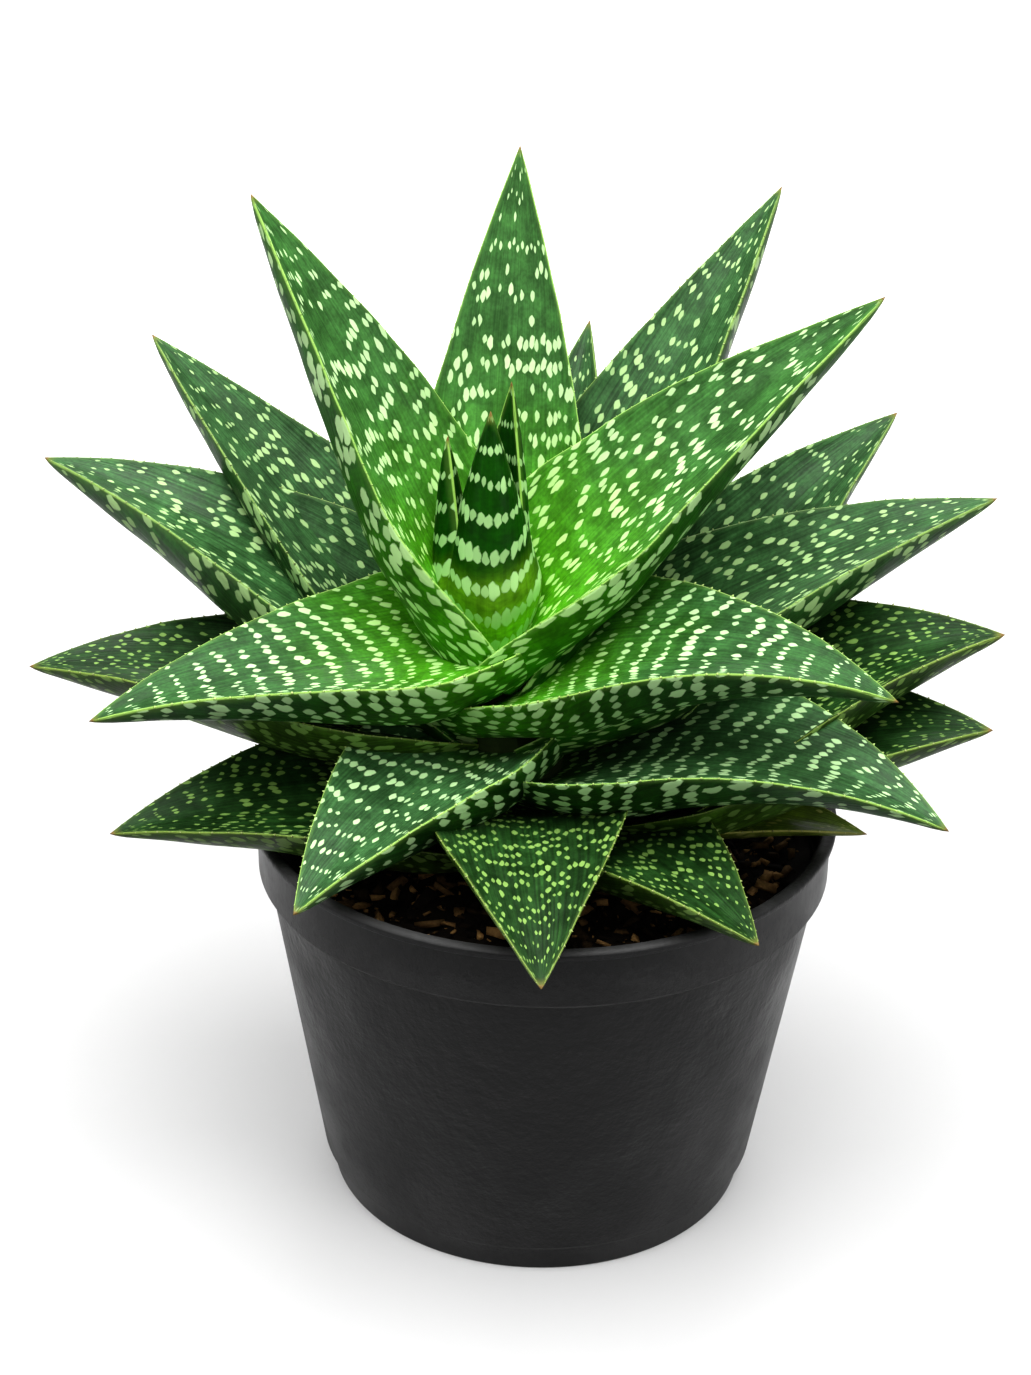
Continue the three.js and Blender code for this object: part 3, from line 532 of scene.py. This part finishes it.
# Leaves.
# Each leaf is one thick tapering blade that clasps the stem: hollowed above, keeled below, with a horny
# margin that carries small blunt teeth, and a sharp tip. Angles are in degrees, and lengths in metres.
# az: heading from above, 0 is +X. z, out, side: where the base sits. rise: slope of the midrib at base,
# middle and tip. roll: twist at base and tip. foot: base width as a share of width. belly: where the
# blade is widest. point: how full the taper is. clasp: how far the base wraps the stem. trough: hollow
# of the blade. bow: how far the rows of spots hang back toward the margins. The blades are whole, so where
# two leaves press together they run into each other.
leaves = {
    "leaf_01_heart": {
        "az": 262, "z": 0.148, "out": -0.001, "length": 0.068, "width": 0.028, "thick": 0.010,
        "rise": (80, 96, 86), "foot": 0.55, "belly": 0.34, "point": 1.05, "clasp": 10, "trough": 50,
        "bow": 0.012, "skin": "heart",
    },
    "leaf_02_heart_right": {
        "az": 60, "z": 0.150, "out": 0.003, "length": 0.070, "width": 0.019, "thick": 0.007,
        "rise": (80, 88, 84), "clasp": 40, "trough": 40,
        "bow": 0.006, "skin": "heart",
    },
    "leaf_03_heart_left": {
        "az": 170, "z": 0.148, "out": 0.006, "length": 0.060, "width": 0.018, "thick": 0.007,
        "rise": (84, 88, 84), "clasp": 40, "trough": 40,
        "bow": 0.006, "skin": "heart",
    },
    "leaf_04_left_upright": {
        "az": 163, "z": 0.146, "out": 0.002, "length": 0.132, "width": 0.046, "thick": 0.014,
        "rise": (72, 59, 57), "roll": (-15, -20), "foot": 0.75, "clasp": 90, "trough": 36,
        "bow": 0.006, "skin": "inner",
    },
    "leaf_05_right_upright": {
        "az": 8, "z": 0.146, "out": 0.000, "length": 0.136, "width": 0.050, "thick": 0.014,
        "rise": (60, 37, 38), "roll": (25, 25), "foot": 0.75, "clasp": 80, "trough": 38,
        "bow": 0.008, "skin": "inner",
    },
    "leaf_06_back_upright": {
        "az": 85, "z": 0.146, "out": 0.008, "length": 0.130, "width": 0.048, "thick": 0.011,
        "rise": (74, 62, 66), "foot": 0.75, "clasp": 50, "trough": 32,
        "bow": 0.004, "skin": "inner",
    },
    "leaf_07_front_left": {
        "az": 206, "z": 0.153, "out": -0.012, "length": 0.116, "width": 0.051, "thick": 0.016,
        "rise": (-2, 14, -14), "roll": (-14, -10), "foot": 0.75, "point": 1.25, "clasp": 40, "trough": 34,
        "bow": 0.016, "skin": "front",
    },
    "leaf_08_front_right": {
        "az": -31, "z": 0.135, "out": -0.008, "length": 0.123, "width": 0.056, "thick": 0.015,
        "rise": (34, 23, -13), "roll": (26, 8), "foot": 0.7, "point": 1.2, "clasp": 40, "trough": 36,
        "bow": 0.018, "skin": "front",
    },
    "leaf_09_back_right": {
        "az": 38, "z": 0.140, "out": 0.004, "length": 0.145, "width": 0.048, "thick": 0.013,
        "rise": (60, 50, 52), "roll": (10, 10), "foot": 0.7, "clasp": 50, "trough": 36,
        "bow": 0.008, "skin": "middle",
    },
    "leaf_10_back_left": {
        "az": 156, "z": 0.112, "out": 0.002, "side": -0.009, "length": 0.152, "width": 0.064, "thick": 0.015,
        "rise": (44, 42, 42), "roll": (-8, -13), "foot": 0.5, "clasp": 10, "trough": 34,
        "bow": 0.008, "skin": "middle",
    },
    "leaf_11_right": {
        "az": 5, "z": 0.127, "out": 0.002, "length": 0.136, "width": 0.060, "thick": 0.016,
        "rise": (38, 30, 16), "roll": (10, 12), "foot": 0.55, "clasp": 15, "trough": 36,
        "bow": 0.008, "skin": "middle",
    },
    "leaf_12_left": {
        "az": 167, "z": 0.123, "out": 0.002, "side": -0.005, "length": 0.143, "width": 0.056, "thick": 0.019,
        "rise": (39, 31, 12), "roll": (-18, -12), "foot": 0.4, "belly": 0.36, "clasp": 5, "trough": 42,
        "bow": 0.008, "skin": "middle",
    },
    "leaf_13_right_behind": {
        "az": 26, "z": 0.113, "out": 0.004, "side": 0.003, "length": 0.135, "width": 0.060, "thick": 0.014,
        "rise": (40, 44, 34), "roll": (14, 22), "foot": 0.5, "point": 1.45, "clasp": 10, "trough": 34,
        "bow": 0.008, "skin": "middle",
    },
    "leaf_14_back_middle": {
        "az": 75, "z": 0.128, "out": 0.008, "length": 0.110, "width": 0.040, "thick": 0.012,
        "rise": (60, 50, 48), "clasp": 40, "trough": 36,
        "bow": 0.008, "skin": "middle",
    },
    "leaf_15_low_front_left": {
        "az": 238, "z": 0.124, "out": -0.004, "side": -0.003, "length": 0.097, "width": 0.052,
        "thick": 0.014, "rise": (10, 2, -24), "foot": 0.95, "clasp": 40, "trough": 36,
        "bow": 0.014, "skin": "apron",
    },
    "leaf_16_low_front_right": {
        "az": -31, "z": 0.115, "out": 0.002, "length": 0.121, "width": 0.066, "thick": 0.013,
        "rise": (32, 18, -22), "roll": (12, 6), "point": 1.25, "clasp": 30, "trough": 34,
        "bow": 0.014, "skin": "apron",
    },
    "leaf_17_low_left": {
        "az": 183, "z": 0.122, "out": 0.002, "side": -0.006, "length": 0.125, "width": 0.062, "thick": 0.013,
        "rise": (14, 21, -4), "roll": (-2, -6), "foot": 0.25, "belly": 0.42, "clasp": 5, "trough": 32,
        "bow": 0.008, "skin": "lower",
    },
    "leaf_18_low_right": {
        "az": -11, "z": 0.099, "out": 0.002, "side": 0.007, "length": 0.131, "width": 0.068, "thick": 0.015,
        "rise": (38, 41, 12), "roll": (36, 14), "foot": 0.4, "belly": 0.42, "clasp": 5, "trough": 34,
        "bow": 0.008, "skin": "lower",
    },
    "leaf_19_low_back": {
        "az": 112, "z": 0.120, "out": 0.002, "length": 0.120, "width": 0.056, "thick": 0.014,
        "rise": (40, 18, 8), "clasp": 20, "trough": 34,
        "bow": 0.008, "skin": "lower",
    },
    "leaf_20_low_back_right": {
        "az": 70, "z": 0.112, "out": 0.002, "length": 0.118, "width": 0.056, "thick": 0.014,
        "rise": (35, 14, 4), "foot": 0.55, "clasp": 15, "trough": 34,
        "bow": 0.008, "skin": "lower",
    },
    "leaf_21_lowest_right": {
        "az": -14, "z": 0.102, "out": 0.002, "side": 0.005, "length": 0.120, "width": 0.062, "thick": 0.014,
        "rise": (26, 29, 4), "roll": (14, 18), "foot": 0.4, "belly": 0.42, "clasp": 5, "trough": 34,
        "bow": 0.008, "skin": "lower",
    },
    "leaf_22_lowest_left": {
        "az": 201, "z": 0.104, "out": 0.002, "length": 0.112, "width": 0.062, "thick": 0.014,
        "rise": (18, 12, -8), "roll": (-14, -10), "foot": 0.55, "clasp": 15, "trough": 28,
        "bow": 0.008, "skin": "lower",
    },
    "leaf_23_lowest_front": {
        "az": 274, "z": 0.110, "out": 0.004, "side": -0.004, "length": 0.099, "width": 0.058, "thick": 0.012,
        "rise": (25, 2, -20), "clasp": 30, "trough": 30,
        "bow": 0.008, "skin": "lower",
    },
    "leaf_24_lowest_front_right": {
        "az": 302, "z": 0.102, "out": 0.004, "length": 0.095, "width": 0.050, "thick": 0.012,
        "rise": (26, 8, -10), "roll": (4, 2), "foot": 0.45, "clasp": 5, "trough": 26,
        "bow": 0.008, "skin": "lower",
    },
    "leaf_25_lowest_back_left": {
        "az": 137, "z": 0.104, "out": 0.002, "length": 0.118, "width": 0.056, "thick": 0.014,
        "rise": (26, 4, -6), "foot": 0.55, "clasp": 15, "trough": 30,
        "bow": 0.008, "skin": "lower",
    },
    "leaf_26_lowest_back_right": {
        "az": 42, "z": 0.104, "out": 0.002, "length": 0.110, "width": 0.054, "thick": 0.013,
        "rise": (26, 4, -6), "foot": 0.55, "clasp": 15, "trough": 30,
        "bow": 0.008, "skin": "lower",
    },
    "leaf_27_lowest_back": {
        "az": 92, "z": 0.103, "out": 0.002, "length": 0.105, "width": 0.052, "thick": 0.013,
        "rise": (24, 2, -8), "foot": 0.55, "clasp": 15, "trough": 30,
        "bow": 0.008, "skin": "lower",
    },
    "leaf_28_old_yellow": {
        "az": -15, "z": 0.104, "out": 0.002, "length": 0.086, "width": 0.042, "thick": 0.007,
        "rise": (20, 4, -8), "roll": (12, 8), "clasp": 20, "trough": 24,
        "bow": 0.008, "skin": "yellow",
    },
}
stem_lean = 0.016
stem_lean_start = 0.096
stem_lean_height = 0.056
clasp_end = 0.42
clasp_fade = 1.5
keel = 2.1
flesh_taper = 0.75
base_flesh = 0.62
full_flesh_at = 0.3
margin_round = 0.00022
rib_crease = 0.00045
rib_half = 0.0011
unevenness = 0.00035
spine_steps = 90
round_steps = 36
long_steps = 88
tooth_pitch = 0.0031
tooth_height = 0.0006
tooth_base = 0.00045
tooth_lean = 0.55
first_tooth_at = 0.1
last_tooth_at = 0.985
weld = 1e-7
tip_half = 1e-6
tooth_share = {
    "heart": 0.0, "inner": 0.5, "front": 0.8, "apron": 0.8, "middle": 0.7, "lower": 0.7, "yellow": 0.7,
}


def along_curve(values, s):
    base, middle, tip = values
    return base * (1 - s) ** 2 + 2 * middle * s * (1 - s) + tip * s * s


class Blade:
    """One leaf's shape: its midrib as a list of frames, and points on its skin."""

    def __init__(self, sizes):
        self.sizes = {"side": 0.0, "roll": (0, 0), "foot": 0.6, "belly": 0.28, "point": 1.35, **sizes}
        heading = math.radians(self.sizes["az"])
        outward = Vector((math.cos(heading), math.sin(heading), 0))
        side = Vector((-math.sin(heading), math.cos(heading), 0))
        leaning = max(0, (self.sizes["z"] - stem_lean_start) / stem_lean_height)
        place = Vector((-stem_lean * leaning, 0, self.sizes["z"]))
        place += outward * self.sizes["out"] + side * self.sizes["side"]
        self.frames = []
        last = None
        for step in range(spine_steps + 1):
            s = step / spine_steps
            rise = math.radians(along_curve(self.sizes["rise"], s))
            roll = math.radians(self.sizes["roll"][0] * (1 - s) + self.sizes["roll"][1] * s)
            ahead = outward * math.cos(rise) + Vector((0, 0, math.sin(rise)))
            if last:
                place = place + (ahead + last) * self.sizes["length"] / spine_steps / 2
            last = ahead
            up = ahead.cross(side)
            across = side * math.cos(roll) + up * math.sin(roll)
            self.frames.append((place, ahead, across, up * math.cos(roll) - side * math.sin(roll)))

    def half_width(self, s):
        width, foot, belly = self.sizes["width"], self.sizes["foot"], self.sizes["belly"]
        if s < belly:
            return width / 2 * (foot + (1 - foot) * math.sin(math.pi / 2 * s / belly))
        return width / 2 * (1 - min(1, (s - belly) / (1 - belly)) ** self.sizes["point"])

    def frame_at(self, s):
        x = min(max(s, 0), 1) * spine_steps
        i = min(int(x), spine_steps - 1)
        return [a.lerp(b, x - i) for a, b in zip(self.frames[i], self.frames[i + 1])]

    def skin(self, s, u, side):
        """The point at share s of the length and u across it (-1 to 1), on the top or the underside."""
        place, ahead, across, up = self.frame_at(s)
        half = max(self.half_width(s), tip_half)
        hold = self.sizes["clasp"] * max(0, 1 - s / clasp_end) ** clasp_fade
        bend = math.radians(self.sizes["trough"] + hold)
        angle = u * bend
        taper = (half / (self.sizes["width"] / 2)) ** flesh_taper
        filled = base_flesh + (1 - base_flesh) * min(1, s / full_flesh_at)
        flesh = self.sizes["thick"] * taper * filled * (1 - abs(u) ** keel)
        from_margin = min(1, half * (1 - abs(u)) / margin_round)
        lift = margin_round * math.sqrt(max(0, 1 - (1 - from_margin) ** 2)) * min(1, half / 0.002)
        height = lift if side > 0 else -flesh - lift
        if side > 0:
            height -= rib_crease * math.exp(-((u * half / rib_half) ** 2)) * min(1, half / 0.01)
        x = half * math.sin(angle) / bend - math.sin(angle) * height
        y = half * (1 - math.cos(angle)) / bend + math.cos(angle) * height
        return place + across * x + up * y


def grow_leaf(node, sizes, number):
    """Makes the leaf's blade and teeth, with its pattern's coordinates in attributes."""
    blade = Blade(sizes)
    length = sizes["length"]
    chance = random.Random(number)
    bm = bmesh.new()
    bmesh.ops.create_grid(bm, x_segments=round_steps, y_segments=long_steps, size=1)
    names = ("lane", "row", "along", "margin", "tip")
    layers = {name: bm.verts.layers.float.new(name) for name in names}
    under = bm.faces.layers.float.new("under")
    tooth = bm.faces.layers.float.new("tooth")
    for face in bm.faces:
        face[under] = 1.0 if face.calc_center_median().x > 0 else 0.0
    shift = Vector((0.37 * number, 0.21 * number))
    widest = sizes["width"] / 2

    def uneven(point, half):
        wave = noise.noise_vector(point * 70 + Vector((number, 0, 0)))
        return wave * unevenness * min(1, half / 0.012)

    def mark(vert, s, u, half):
        vert[layers["lane"]] = u * (0.3 * widest + 0.7 * half) + shift.x
        vert[layers["row"]] = s * length - sizes["bow"] * (u * half / widest) ** 2 + shift.y
        vert[layers["along"]] = s * length
        vert[layers["margin"]] = half * (1 - abs(u))
        vert[layers["tip"]] = (1 - s) * length

    tip_ring = [vert for vert in bm.verts if vert.co.y > 0.999]
    for vert in bm.verts:
        turn = vert.co.x + 1
        s = (vert.co.y + 1) / 2
        u = -math.cos(math.pi * turn)
        point = blade.skin(s, u, 1 if turn <= 1 else -1)
        half = blade.half_width(s)
        vert.co = point + uneven(point, half)
        mark(vert, s, u, half)
    bmesh.ops.pointmerge(bm, verts=tip_ring, merge_co=blade.frames[-1][0])
    bmesh.ops.remove_doubles(bm, verts=bm.verts, dist=weld)
    bmesh.ops.holes_fill(bm, edges=[edge for edge in bm.edges if edge.is_boundary])
    bmesh.ops.recalc_face_normals(bm, faces=bm.faces)
    # On a deeply hollowed leaf the faces can come out turned inward.
    if bm.calc_volume(signed=True) < 0:
        bmesh.ops.reverse_faces(bm, faces=bm.faces)

    for edge in (-1, 1) if tooth_share[sizes["skin"]] else ():
        distance = first_tooth_at * length + chance.random() * tooth_pitch
        while distance < last_tooth_at * length:
            s = distance / length
            half = blade.half_width(s)
            root = blade.skin(s, edge, 1)
            root += uneven(root, half)
            outward = (root - blade.skin(s, edge * 0.93, 1)).normalized()
            aim = (outward + tooth_lean * blade.frame_at(s)[1]).normalized()
            size = min(1, 0.45 + half / 0.016) * chance.uniform(0.7, 1.15) * tooth_share[sizes["skin"]]
            stand = Matrix.Translation(root + aim * tooth_height * size * 0.3)
            stand = stand @ aim.to_track_quat("Z", "Y").to_matrix().to_4x4()
            made = bmesh.ops.create_cone(
                bm, cap_ends=True, segments=6, radius1=tooth_base * size, radius2=tooth_base * size * 0.2,
                depth=tooth_height * size * 1.3, matrix=stand,
            )
            for vert in made["verts"]:
                mark(vert, s, edge, half)
                for face in vert.link_faces:
                    face[tooth] = 1.0
            distance += tooth_pitch * chance.uniform(0.7, 1.4)
    return bm


for number, (node, sizes) in enumerate(leaves.items(), start=1):
    skin = sizes["skin"]
    blade_piece = object_from("blade_" + node[5:], grow_leaf(node, sizes, number), skins[skin])
    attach(blade_piece, "root")
    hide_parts(node)
